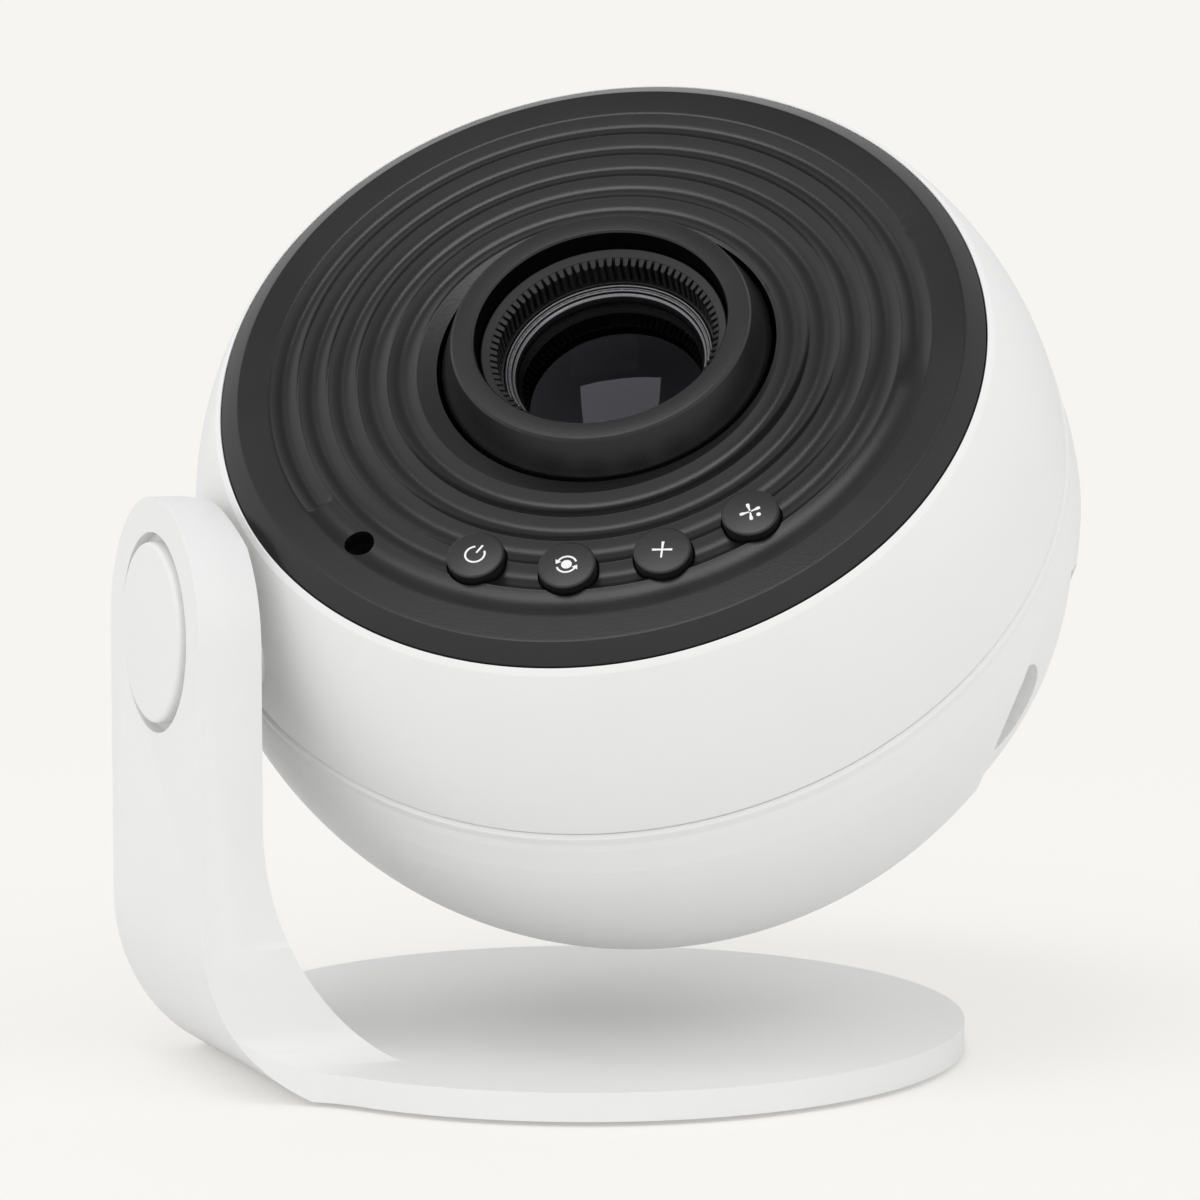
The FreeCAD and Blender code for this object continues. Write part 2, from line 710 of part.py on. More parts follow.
def make_tray_rails():
    rails = []
    for side in (-1, 1):
        inner, middle, outer = side * 14.2, side * (tray_half + 0.2), side * 19.2
        pad = block(rail_back, rail_front, min(inner, outer), max(inner, outer), lower_deck_z,
                    tray_low_z - fit_gap)
        cheek = block(rail_back, rail_front, min(middle, outer), max(middle, outer), lower_deck_z,
                      tray_top_z - 0.1)
        rails.append(turn(whole(pad.fuse(cheek)), drawer_azimuth))
    return Part.makeCompound(rails)


def make_upper_deck():
    deck = rod(upper_deck_radius, upper_deck_z - deck_thickness, upper_deck_z)
    cuts = [rod(guide_bore, -20, 0, lens_x), drawer_bar(drawer_radius + 1.2, 49, 80)]
    for azimuth in post_azimuths:
        x, y = polar(post_ring, azimuth)
        cuts.append(rod(screw_radius + 0.02, -20, 0, x, y))
    deck = deck.cut(fuse_all(cuts))
    studs = [rod(2.0, upper_deck_z, board_low_z, x, y) for x, y in board_stud_places()]
    return whole(fuse_all([deck] + studs))


def make_lower_deck():
    deck = rod(lower_deck_radius, lower_deck_z - deck_thickness, lower_deck_z)
    x, y = pinion_place()
    return whole(deck.cut(rod(holder_outer + fit_gap, -40, 0, lens_x)).cut(rod(2.4, -40, 0, x, y)))


def make_deck_posts():
    posts = []
    for offset in (60, 120, -60, -120):
        x, y = polar(37.0, drawer_azimuth + offset)
        posts.append(rod(3.0, lower_deck_z, upper_deck_z - deck_thickness, x, y))
    return Part.makeCompound(posts)


def board_stud_places():
    return [(-21.0, 37.0), (21.0, 37.0), (-17.0, 53.0), (17.0, 53.0)]


def make_main_board():
    board = block(-25, 25, 33, 57, board_low_z, board_low_z + board_thickness)
    top = board_low_z + 1.5
    pieces = [block(-8, 2, 40, 50, top, top + 1.6), block(8, 12, 36, 44, top, top + 3.5),
              block(-22, -14, 36, 42, top, top + 6.0), rod(3.0, top, top + 8.0, 17, 50),
              rod(2.5, top, top + 6.0, -18, 50)]
    return whole(fuse_all([board] + pieces))


def make_condenser_holder():
    holder = tube(holder_outer, holder_bore, led_board_z, lower_deck_z)
    flange_high = lower_deck_z - deck_thickness
    flange = tube(18.0, holder_bore, flange_high - 1.6, flange_high)
    holder = shift(holder.fuse(flange), lens_x)
    return whole(holder.cut(rod(4.8, flange_high - 3, flange_high + 0.01, *pinion_place())))


def make_led_board():
    return shift(rod(led_board_radius, led_board_z - board_thickness, led_board_z), lens_x)


def make_led():
    base = block(-1.8, 1.8, -1.8, 1.8, led_board_z, led_board_z + 0.8)
    dome = Part.makeSphere(1.6, V(0, 0, led_board_z + 0.8)).common(rod(3, led_board_z + 0.7, led_board_z + 5))
    return shift(whole(base.fuse(dome)), lens_x)


def make_heat_sink():
    top = led_board_z - board_thickness
    sink = [rod(led_board_radius, top - 2.0, top)]
    for i in range(7):
        x = -13.5 + 4.5 * i
        half = math.sqrt(16.0 ** 2 - x ** 2)
        sink.append(block(x - 0.6, x + 0.6, -half, half, top - 8.0, top - 1.9))
    return shift(whole(fuse_all(sink)), lens_x)


def make_power_socket():
    """The power inlet: a flat oval mouth with its contact tongue."""
    half, height = 5.2, 3.0
    body = block(-half, half, 59.5, 76, socket_z - height, socket_z + height)
    body = body.common(Part.makeSphere(ball_radius - 0.5))
    mouth = block(-2.9, 2.9, 62.0, 80, socket_z - 1.7, socket_z + 1.7)
    for side in (-1, 1):
        mouth = mouth.fuse(Part.makeCylinder(1.7, 18, V(side * 2.9, 62.0, socket_z), V(0, 1, 0)))
    tongue = block(-3.3, 3.3, 61.9, 68.0, socket_z - 0.35, socket_z + 0.35)
    return whole(body.cut(mouth).fuse(tongue))


def make_meteor_tube():
    x, y = polar(port_ring, port_azimuth)
    return whole(tube(port_radius + 1.0, port_radius + 0.05, 20.0, panel_low_z - 0.02, x, y))


def make_meteor_lens():
    x, y = polar(port_ring, port_azimuth)
    return rod(port_radius, 27.0, 28.4, x, y)


def make_meteor_lamp():
    x, y = polar(port_ring, port_azimuth)
    stem = rod(port_radius, 18.0, 23.0, x, y)
    return whole(stem.fuse(rod(port_radius + 0.8, 17.0, 18.5, x, y)))


# ------------------------------------------------------------------ write the parts
def make_stand_parts():
    gap_x = arm_inner_x + 0.02
    return {
        "stand_body": make_stand_body(),
        "base_weight": rod(weight_radius, cover_high, weight_high),
        "base_cover": make_base_cover(),
        "base_screws": make_base_screws(),
        "base_pad": rod(cover_radius, 0, base_low),
        "pivot_bush": make_pivot_bush(),
        "friction_washer": washer(9.6, shaft_radius + 0.2, gap_x, boss_outer_x - 0.02),
        "spring_washer": washer(9.0, shaft_radius + 0.2, pocket_floor_x - 1.0, pocket_floor_x - 0.05),
        "pivot_cap": make_pivot_cap(),
        "pivot_shaft": make_pivot_shaft(),
        "pivot_nut": make_pivot_nut(),
        "upper_shell": make_upper_shell(),
    }


def make_head_parts():
    parts = {
        "lower_shell": make_lower_shell(),
        "shell_screws": make_shell_screws(),
        "front_panel": make_front_panel(),
        "button_board": make_button_board(),
        "focus_ring": make_focus_ring(),
        "lens_guide": make_lens_guide(),
        "lens_barrel": make_lens_barrel(),
        "lens_retainer": make_lens_retainer(),
        "front_lens": lens(lens_radius, *front_lens_z, 1.5, 2.2),
        "middle_lens": lens(lens_radius, *middle_lens_z, 1.2, 2.0),
        "rear_lens": lens(lens_radius, *rear_lens_z, 2.5, 1.0),
        "front_spacer": make_spacer(middle_lens_z[1], front_lens_z[0]),
        "rear_spacer": make_spacer(rear_lens_z[1], middle_lens_z[0]),
        "disc_gear": make_disc_gear(),
        "star_film": make_star_film(),
        "motor_pinion": make_motor_pinion(),
        "motor_shaft": make_motor_shaft(),
        "disc_motor": make_disc_motor(),
        "disc_tray": make_disc_tray(),
        "disc_door": make_disc_door(),
        "tray_rails": make_tray_rails(),
        "upper_deck": make_upper_deck(),
        "lower_deck": make_lower_deck(),
        "deck_posts": make_deck_posts(),
        "main_board": make_main_board(),
        "condenser_holder": make_condenser_holder(),
        "condenser_rear": lens(holder_bore - 0.02, -50.0, -47.0, 0.5, 4.0),
        "condenser_front": lens(holder_bore - 0.02, -36.0, -33.5, 3.5, 0.5),
        "led_board": make_led_board(),
        "led": make_led(),
        "heat_sink": make_heat_sink(),
        "power_socket": make_power_socket(),
        "meteor_tube": make_meteor_tube(),
        "meteor_lens": make_meteor_lens(),
        "meteor_lamp": make_meteor_lamp(),
    }
    for name, azimuth in zip(button_names, button_azimuths()):
        parts[name] = make_button(azimuth)
    return {name: to_stand(shape) for name, shape in parts.items()}


os.makedirs("parts", exist_ok=True)
all_parts = make_stand_parts()
all_parts.update(make_head_parts())
for name, shape in all_parts.items():
    shape.exportStep("parts/" + name + ".step")
    box = shape.BoundBox
    print(name, "solids", len(shape.Solids), "valid", shape.isValid(), "volume", round(shape.Volume, 1),
          "x", round(box.XMin, 1), round(box.XMax, 1), "y", round(box.YMin, 1), round(box.YMax, 1),
          "z", round(box.ZMin, 1), round(box.ZMax, 1))
print(len(all_parts), "parts")
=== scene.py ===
# %% [markdown]
# # A ball-shaped planetarium projector on an L-shaped stand
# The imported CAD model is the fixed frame: it gives every body, its place and its joints. This lesson dresses
# it. The shells, the panel and the optics are turned shapes, so most of them are made by spinning a drawn
# section.

# %% Load the frame
import json
import math

import bmesh
import bpy
from mathutils import Matrix, Vector


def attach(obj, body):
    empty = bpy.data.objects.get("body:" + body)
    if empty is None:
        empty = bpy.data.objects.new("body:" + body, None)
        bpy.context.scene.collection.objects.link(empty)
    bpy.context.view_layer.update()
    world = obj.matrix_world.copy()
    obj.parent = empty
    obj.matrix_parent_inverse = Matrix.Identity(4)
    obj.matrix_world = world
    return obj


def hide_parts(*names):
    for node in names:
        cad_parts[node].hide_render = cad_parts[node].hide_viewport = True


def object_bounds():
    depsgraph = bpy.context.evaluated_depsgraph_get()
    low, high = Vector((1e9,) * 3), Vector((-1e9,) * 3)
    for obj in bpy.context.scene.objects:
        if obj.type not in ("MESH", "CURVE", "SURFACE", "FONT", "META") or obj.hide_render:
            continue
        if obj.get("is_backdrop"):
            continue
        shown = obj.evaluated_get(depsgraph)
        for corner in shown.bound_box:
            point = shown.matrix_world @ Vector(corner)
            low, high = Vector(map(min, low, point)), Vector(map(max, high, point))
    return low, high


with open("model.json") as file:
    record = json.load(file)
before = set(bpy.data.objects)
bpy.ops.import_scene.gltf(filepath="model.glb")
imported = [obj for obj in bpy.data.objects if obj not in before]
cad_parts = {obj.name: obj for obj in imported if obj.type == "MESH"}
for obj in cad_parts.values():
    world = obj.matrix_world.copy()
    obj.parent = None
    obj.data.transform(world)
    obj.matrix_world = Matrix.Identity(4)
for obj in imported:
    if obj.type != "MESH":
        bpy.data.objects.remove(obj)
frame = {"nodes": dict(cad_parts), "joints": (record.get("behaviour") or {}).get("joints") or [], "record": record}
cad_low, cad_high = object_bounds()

MM = 0.001
TURN = 2.0 * math.pi
print("CAD box in mm:", [round(c / MM, 1) for c in cad_low], [round(c / MM, 1) for c in cad_high])

# %% [markdown]
# The projector's head is tilted, and its pieces are easiest to draw in the head's own frame: Z along the
# optical axis, origin at the ball's centre. The frame's joints say where that axis points, so nothing is
# measured twice.

# %% Place of the head, the lens and the pivot
joints = {joint["name"]: joint for joint in frame["joints"]}
optical_axis = Vector(joints["focus_turn"]["axis"])
pivot_point = Vector(joints["head_tilt"]["pos_m"])
ball_centre = Vector((8.5, 0.0, 91.9)) * MM
lean = -math.asin(optical_axis.x)
pitch = math.atan2(-optical_axis.y, optical_axis.z)
lean_pitch = Matrix.Rotation(pitch, 4, "X") @ Matrix.Rotation(lean, 4, "Y").inverted()
head_place = Matrix.Translation(ball_centre) @ lean_pitch
check = (lean_pitch.to_3x3() @ Vector((0, 0, 1)) - optical_axis).length
lens_x = 1.4
lens_place = head_place @ Matrix.Translation(Vector((lens_x, 0, 0)) * MM)
print("lean", round(math.degrees(lean), 2), "pitch", round(math.degrees(pitch), 2), "error", round(check, 6))

# %% [markdown]
# The camera stands a little above the table, in front and to the arm's side, with a long lens. It is placed
# first, because everything else is judged through it.

# %% Camera
camera_azimuth, camera_elevation = math.radians(-24.23), math.radians(5.57)
camera_spot = Vector((-286.9, -642.5, 144.5)) * MM
camera = bpy.data.objects.new("camera", bpy.data.cameras.new("camera"))
camera.data.sensor_width = 36.0
camera.data.lens = 126.0
camera.data.clip_start, camera.data.clip_end = 0.01, 20.0
bpy.context.scene.collection.objects.link(camera)
camera.matrix_world = (Matrix.Translation(camera_spot) @ Matrix.Rotation(camera_azimuth, 4, "Z")
                       @ Matrix.Rotation(math.pi / 2 - camera_elevation, 4, "X"))
bpy.context.scene.camera = camera
bpy.context.scene.view_settings.view_transform = "Standard"
print("camera at", [round(c, 4) for c in camera_spot], "lens", camera.data.lens)

# %% [markdown]
# ## Materials
# Moulded plastic is never one flat colour: it has a very fine spark-eroded grain, and its gloss drifts a
# little across a wall as the melt cooled. Both come from noise on Object coordinates, so they stay put on
# each piece.

# %% Node helpers
gloss_patches, colour_patches, tool_marks, haze_patches = 22.0, 60.0, 900.0, 80.0   # grains per metre


def shader(name, base, roughness):
    material = bpy.data.materials.new(name)
    material.use_nodes = True
    principled = material.node_tree.nodes["Principled BSDF"]
    principled.inputs["Base Color"].default_value = (*base, 1.0)
    principled.inputs["Roughness"].default_value = roughness
    return material, principled


def noise(material, scale, detail, stretch=(1.0, 1.0, 1.0)):
    """Noise on Object coordinates; scale is in grains per metre."""
    tree = material.node_tree
    coordinates = tree.nodes.new("ShaderNodeTexCoord")
    mapping = tree.nodes.new("ShaderNodeMapping")
    mapping.inputs["Scale"].default_value = stretch
    texture = tree.nodes.new("ShaderNodeTexNoise")
    texture.inputs["Scale"].default_value = scale
    texture.inputs["Detail"].default_value = detail
    tree.links.new(coordinates.outputs["Object"], mapping.inputs["Vector"])
    tree.links.new(mapping.outputs["Vector"], texture.inputs["Vector"])
    return texture.outputs["Fac"]


def spread(material, value, low, high):
    """Maps the middle of a noise value's range to low..high."""
    node = material.node_tree.nodes.new("ShaderNodeMapRange")
    node.inputs["From Min"].default_value = 0.3
    node.inputs["From Max"].default_value = 0.7
    node.inputs["To Min"].default_value = low
    node.inputs["To Max"].default_value = high
    material.node_tree.links.new(value, node.inputs["Value"])
    return node.outputs["Result"]


def blend_colours(material, value, first, second):
    node = material.node_tree.nodes.new("ShaderNodeMix")
    node.data_type = "RGBA"
    node.inputs["A"].default_value = (*first, 1.0)
    node.inputs["B"].default_value = (*second, 1.0)
    material.node_tree.links.new(value, node.inputs["Factor"])
    return node.outputs["Result"]


def bump(material, principled, value, height_mm):
    node = material.node_tree.nodes.new("ShaderNodeBump")
    node.inputs["Distance"].default_value = height_mm * MM
    node.inputs["Strength"].default_value = 1.0
    material.node_tree.links.new(value, node.inputs["Height"])
    material.node_tree.links.new(node.outputs["Normal"], principled.inputs["Normal"])


def moulded(name, base, roughness, grain=2600.0, grain_mm=0.012, drift=0.05, tint=0.04, shine=0.5):
    """Moulded plastic: drifting gloss, a slight drift of colour and a fine eroded grain."""
    material, principled = shader(name, base, roughness)
    links = material.node_tree.links
    slow = noise(material, gloss_patches, 2.0)
    links.new(spread(material, slow, roughness - drift, roughness + drift), principled.inputs["Roughness"])
    darker = [c * (1.0 - tint) for c in base]
    lighter = [min(1.0, c * (1.0 + tint)) for c in base]
    cloudy = spread(material, noise(material, colour_patches, 4.0), 0.0, 1.0)
    links.new(blend_colours(material, cloudy, darker, lighter), principled.inputs["Base Color"])
    bump(material, principled, noise(material, grain, 2.0), grain_mm)
    principled.inputs["Specular IOR Level"].default_value = shine
    return material


def turned_metal(name, base, roughness, stretch=(1.0, 1.0, 30.0), mark_mm=0.01):
    """Metal with fine tool marks that run across one axis."""
    material, principled = shader(name, base, roughness)
    principled.inputs["Metallic"].default_value = 1.0
    marks = noise(material, tool_marks, 4.0, stretch)
    links = material.node_tree.links
    links.new(spread(material, marks, roughness - 0.08, roughness + 0.1), principled.inputs["Roughness"])
    bump(material, principled, marks, mark_mm)
    return material


def optical_glass(name, tint, ior, bloom):
    """Coated glass with a weak coloured bloom; a low index stands for the coating, which reflects little."""
    material, principled = shader(name, tint, 0.02)
    principled.inputs["Transmission Weight"].default_value = 1.0
    principled.inputs["IOR"].default_value = ior
    principled.inputs["Specular Tint"].default_value = (*bloom, 1.0)
    haze = spread(material, noise(material, haze_patches, 1.0), 0.005, 0.015)
    material.node_tree.links.new(haze, principled.inputs["Roughness"])
    return material


# %% [markdown]
# The stand and the shells are two nearly equal satin whites. The panel, ring and buttons are black and a
# little glossier, and the barrel is duller, so that it throws little light into the picture.

# %% The finishes
finishes = {
    "shell_white": moulded("satin_white_shell", (0.82, 0.82, 0.816), 0.40, tint=0.006),
    "stand_white": moulded("satin_white_stand", (0.81, 0.81, 0.806), 0.42, tint=0.006),
    "panel_black": moulded("satin_black_panel", (0.005, 0.005, 0.0053), 0.24, tint=0.10, shine=0.42),
    "ring_black": moulded("satin_black_ring", (0.006, 0.006, 0.0063), 0.27, tint=0.10, shine=0.45),
    "barrel_black": moulded("matt_black_barrel", (0.010, 0.010, 0.0105), 0.40, grain=1800.0, grain_mm=0.03,
                            shine=0.45),
    "button_black": moulded("satin_black_button", (0.006, 0.006, 0.0063), 0.27, tint=0.10, shine=0.50),
    "frame_black": moulded("filled_black_frame", (0.012, 0.012, 0.012), 0.6, grain=1500.0, grain_mm=0.03,
                           shine=0.3),
    "socket_black": moulded("socket_black", (0.03, 0.03, 0.03), 0.45),
    "cover_grey": moulded("cover_grey", (0.6, 0.6, 0.59), 0.5, tint=0.03),
    "pad_rubber": moulded("pad_rubber", (0.02, 0.02, 0.02), 0.8, grain=1200.0, grain_mm=0.08),
    "bush_acetal": moulded("natural_acetal", (0.78, 0.77, 0.72), 0.32, tint=0.03),
    "gear_acetal": moulded("gear_acetal", (0.74, 0.73, 0.68), 0.35, tint=0.04),
    "fibre": moulded("red_fibre", (0.28, 0.1, 0.06), 0.7, grain=1500.0, grain_mm=0.05, tint=0.25),
    "circuit_green": moulded("solder_mask_green", (0.02, 0.12, 0.05), 0.3, grain=700.0, grain_mm=0.04,
                             tint=0.35),
    "led_yellow": moulded("lamp_phosphor", (0.8, 0.62, 0.1), 0.5, tint=0.1),
    "steel": turned_metal("plain_steel", (0.55, 0.55, 0.56), 0.35),
    "screw_steel": turned_metal("zinc_steel", (0.60, 0.60, 0.62), 0.3),
    "motor_can": turned_metal("drawn_can", (0.62, 0.62, 0.62), 0.28),
    "heat_alloy": turned_metal("anodised_alloy", (0.68, 0.68, 0.70), 0.4, (1.0, 1.0, 8.0)),
    "brass_post": turned_metal("turned_brass", (0.75, 0.55, 0.25), 0.3),
    "retainer_chrome": turned_metal("polished_ring", (0.17, 0.17, 0.175), 0.16, (1.0, 1.0, 1.0), 0.001),
    "lens_glass": optical_glass("coated_glass", (0.80, 0.79, 0.82), 1.3, (0.90, 0.86, 1.0)),
    "film_dark": moulded("star_film", (0.012, 0.012, 0.03), 0.2, grain=900.0, tint=0.5),
}
for entry in frame["record"]["subparts"]:
    node = frame["nodes"][entry["node"]]
    node.data.materials.clear()
    node.data.materials.append(finishes[entry["material_slot"]])
print(len(finishes), "finishes on", len(frame["nodes"]), "CAD nodes")

# %% [markdown]
# ## Drawing and turning a section
# A section is a short list of corners. Each corner is (radius, height, rounding), and an arc between two
# corners is given by one more point that it passes through. `soften` rounds each corner that asks for it,
# because a moulded edge that is truly sharp catches no light and looks drawn.

# %% Section helpers
shell_sharp, fine_sharp = 28.0, 24.0     # edges steeper than this many degrees are shaded sharp
merge_mm = 0.002
edge_share = 0.49                        # of an edge that one round may use up


def soften(corners, steps=4):
    """Rounds the corners of a closed outline; each corner is (x, y, radius)."""
    points = []
    count = len(corners)
    for i, (x, y, radius) in enumerate(corners):
        here = Vector((x, y))
        if radius <= 0.0:
            points.append(here)
            continue
        before = Vector(corners[i - 1][:2]) - here
        after = Vector(corners[(i + 1) % count][:2]) - here
        angle = before.angle(after)
        reach = min(radius / math.tan(angle / 2), edge_share * before.length, edge_share * after.length)
        start, end = here + before.normalized() * reach, here + after.normalized() * reach
        for step in range(steps + 1):
            t = step / steps
            points.append(start * (1 - t) ** 2 + here * 2 * t * (1 - t) + end * t ** 2)
    return points


def arc_corners(first, through, last, pieces):
    """Corners along the arc through three points, without its ends."""
    (ax, ay), (bx, by), (cx, cy) = first, through, last
    d = 2 * (ax * (by - cy) + bx * (cy - ay) + cx * (ay - by))
    aa, bb, cc = ax ** 2 + ay ** 2, bx ** 2 + by ** 2, cx ** 2 + cy ** 2
    ux = (aa * (by - cy) + bb * (cy - ay) + cc * (ay - by)) / d
    uy = (aa * (cx - bx) + bb * (ax - cx) + cc * (bx - ax)) / d
    radius = math.hypot(ax - ux, ay - uy)
    start = math.atan2(ay - uy, ax - ux)
    middle = math.atan2(by - uy, bx - ux)
    end = math.atan2(cy - uy, cx - ux)
    sweep = (end - start) % TURN
    if (middle - start) % TURN > sweep:
        sweep -= TURN
    angles = [start + sweep * i / pieces for i in range(1, pieces)]
    return [(ux + radius * math.cos(angle), uy + radius * math.sin(angle), 0) for angle in angles]


def spin_section(points, steps):
    """Turns a closed outline of (radius, height) points, in mm, about Z."""
    bm = bmesh.new()
    verts = [bm.verts.new(Vector((p[0], 0.0, p[1])) * MM) for p in points]
    edges = [bm.edges.new(pair) for pair in zip(verts, verts[1:])]
    edges.append(bm.edges.new((verts[-1], verts[0])))
    bmesh.ops.spin(bm, geom=verts + edges, cent=(0, 0, 0), axis=(0, 0, 1), angle=TURN, steps=steps,
                   use_merge=True, use_duplicate=False)
    bmesh.ops.remove_doubles(bm, verts=bm.verts, dist=merge_mm * MM)
    bmesh.ops.recalc_face_normals(bm, faces=bm.faces)
    return bm


def make_piece(bm, name, place, body, slot, replaces=(), sharp=32.0, material=None):
    """Turns a bmesh into a finished piece that rides on a body."""
    bmesh.ops.transform(bm, matrix=place, verts=bm.verts)
    mesh = bpy.data.meshes.new(name)
    bm.to_mesh(mesh)
    bm.free()
    mesh.polygons.foreach_set("use_smooth", [True] * len(mesh.polygons))
    mesh.set_sharp_from_angle(angle=math.radians(sharp))
    mesh.materials.append(material or finishes[slot])
    piece = bpy.data.objects.new(name, mesh)
    bpy.context.scene.collection.objects.link(piece)
    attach(piece, body)
    if replaces:
        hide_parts(*replaces)
    print(name, "faces", len(mesh.polygons))
    return piece


def bake_modifiers(piece):
    """Applies a piece's modifiers, so that its mesh is what is seen."""
    bpy.context.view_layer.update()
    graph = bpy.context.evaluated_depsgraph_get()
    mesh = bpy.data.meshes.new_from_object(piece.evaluated_get(graph), preserve_all_data_layers=True,
                                           depsgraph=graph)
    piece.modifiers.clear()
    piece.data = mesh


def cut_away(piece, cutters, sharp):
    """Cuts a piece with another mesh made for that, then shades the new edges."""
    mesh = bpy.data.meshes.new("cutter")
    cutters.to_mesh(mesh)
    cutters.free()
    tool = bpy.data.objects.new("cutter", mesh)
    bpy.context.scene.collection.objects.link(tool)
    boolean = piece.modifiers.new("cut", "BOOLEAN")
    boolean.operation = "DIFFERENCE"
    boolean.solver = "EXACT"
    boolean.object = tool
    bake_modifiers(piece)
    bpy.data.objects.remove(tool)
    piece.data.polygons.foreach_set("use_smooth", [True] * len(piece.data.polygons))
    piece.data.set_sharp_from_angle(angle=math.radians(sharp))
    print(piece.name, "faces after cutting", len(piece.data.polygons))


def add_rod(bm, place, radius, low, high, steps):
    """Adds a closed round bar along Z to a bmesh, in mm, then puts it in place."""
    made = bmesh.ops.create_cone(bm, cap_ends=True, cap_tris=False, segments=steps, radius1=radius * MM,
                                 radius2=radius * MM, depth=(high - low) * MM)
    lift = Matrix.Translation((0, 0, (low + high) / 2 * MM))
    bmesh.ops.transform(bm, matrix=place @ lift, verts=made["verts"])


def add_box(bm, place, sizes, centre):
    """Adds a block of the given sizes round a centre, in mm."""
    made = bmesh.ops.create_cube(bm, size=1.0)
    scale = Matrix.Diagonal((*[s * MM for s in sizes], 1.0))
    block_place = place @ Matrix.Translation(Vector(centre) * MM) @ scale
    bmesh.ops.transform(bm, matrix=block_place, verts=made["verts"])


def around(degrees):
    """A turn about Z."""
    return Matrix.Rotation(math.radians(degrees), 4, "Z")


cad_merge_mm, flat_degrees, round_from_degrees = 0.004, 0.6, 35.0


def soft_copy(node, name, body, slot, width_mm):
    """A merged copy of a CAD node's mesh, with its sharp edges rounded like a moulding's."""
    bm = bmesh.new()
    bm.from_mesh(frame["nodes"][node].data)
    bmesh.ops.remove_doubles(bm, verts=bm.verts, dist=cad_merge_mm * MM)
    bmesh.ops.dissolve_limit(bm, angle_limit=math.radians(flat_degrees), verts=bm.verts, edges=bm.edges)
    piece = make_piece(bm, name, Matrix.Identity(4), body, slot, (node,), shell_sharp)
    round_over = piece.modifiers.new("round_over", "BEVEL")
    round_over.width = width_mm * MM
    round_over.segments = 3
    round_over.limit_method = "ANGLE"
    round_over.angle_limit = math.radians(round_from_degrees)
    round_over.harden_normals = True
    return piece


# %% [markdown]
# ## The shells
# The upper shell is a turned band with a narrow chamfer where it meets the panel, and it is drawn in slightly
# from the ball. The lower shell is a bowl with a small rolled lip, and a shadow gap parts the two.

# %% Upper shell
panel_radius, panel_edge_z = 62.7, 36.1
seam_low, seam_high = 6.2, 6.6
ball_radius, wall = 75.0, 2.8
upper_foot, upper_waist, upper_top = (73.24, seam_high), (70.62, 20.6), (64.0, 35.2)
inner_foot, inner_waist, inner_top = (70.4, seam_high), (67.9, 20.6), (62.9, 33.0)
outer_band = [(*upper_foot, 0.25), *arc_corners(upper_foot, upper_waist, upper_top, 40), (*upper_top, 0.5)]
inner_band = [(*inner_top, 0.2), *arc_corners(inner_top, inner_waist, inner_foot, 12), (*inner_foot, 0.2)]
rim = [(panel_radius + 0.2, panel_edge_z + 0.15, 0.25)]
shell_steps = 320
make_piece(spin_section(soften(outer_band + rim + inner_band), shell_steps), "upper_shell_skin", head_place,
           "head", "shell_white", ("upper_shell",), shell_sharp)

# %% Tilt boss, the round land that the head turns on
boss_radius, boss_outer, boss_inner = 10.0, -65.58, -56.7
to_pivot = Matrix.Translation((0, 0, pivot_point.z)) @ Matrix.Rotation(math.pi / 2, 4, "Y")
boss = soften([(0, boss_outer, 0), (boss_radius, boss_outer, 0.4), (boss_radius, boss_inner, 0.3),
               (0, boss_inner, 0)])
make_piece(spin_section(boss, 96), "tilt_boss", to_pivot, "head", "shell_white")

# %% Lower shell
bowl_top_z, inner_top_z, arc_middle = -6.5, 3.0, 0.8     # arc_middle is in radians below the horizontal
across, below = math.cos(arc_middle), math.sin(arc_middle)
bowl_join = (math.sqrt(ball_radius ** 2 - bowl_top_z ** 2), bowl_top_z)
bowl_arc = arc_corners((0, -ball_radius), (ball_radius * across, -ball_radius * below), bowl_join, 90)
lip = [(74.5, -2.2, 0.8), (73.85, 2.6, 1.2), (73.5, 4.0, 0.5), (73.62, 5.6, 0.4), (73.0, seam_low, 0.25),
       (69.8, seam_low, 0)]
inner_radius = ball_radius - wall
inner_start = (math.sqrt(inner_radius ** 2 - inner_top_z ** 2), inner_top_z)
inner_arc = arc_corners(inner_start, (inner_radius * across, -inner_radius * below), (0, -inner_radius), 60)
bowl = [(0, -ball_radius, 0), *bowl_arc, (*bowl_join, 0), *lip, (*inner_start, 0), *inner_arc,
        (0, -inner_radius, 0)]
lower_shell = make_piece(spin_section(soften(bowl), shell_steps), "lower_shell_skin", head_place, "head",
                         "shell_white", ("lower_shell",), shell_sharp)

# %% Openings in the lower shell: drawer, power socket, screw holes and vents
drawer_azimuth, drawer_z, drawer_radius, drawer_gap = -42.3, -22.8, 20.0, 0.2
screw_ring, screw_azimuths, screw_hole_radius = 54.0, (48.0, 138.0, 228.0), 3.4
vent_count, vent_size, vent_middle = 12, (14.0, 2.2, 25.0), (22.0, 0, -70.0)
socket_mouth, socket_middle = (10.8, 20.0, 6.4), (0, 70.0, -26.0)
drawer_cut, screw_cut = (50.0, 95.0), (-80.0, -20.0)     # from where to where each cutter reaches
drawer_place = head_place @ around(drawer_azimuth) @ Matrix.Translation((0, 0, drawer_z * MM)) \
    @ Matrix.Rotation(math.pi / 2, 4, "Y")
cutters = bmesh.new()
add_rod(cutters, drawer_place, drawer_radius + drawer_gap, *drawer_cut, 160)
for azimuth in screw_azimuths:
    screw_place = head_place @ around(azimuth) @ Matrix.Translation((screw_ring * MM, 0, 0))
    add_rod(cutters, screw_place, screw_hole_radius, *screw_cut, 48)
for i in range(vent_count):
    add_box(cutters, head_place @ around(360.0 / vent_count * i), vent_size, vent_middle)
add_box(cutters, head_place, socket_mouth, socket_middle)
cut_away(lower_shell, cutters, shell_sharp)

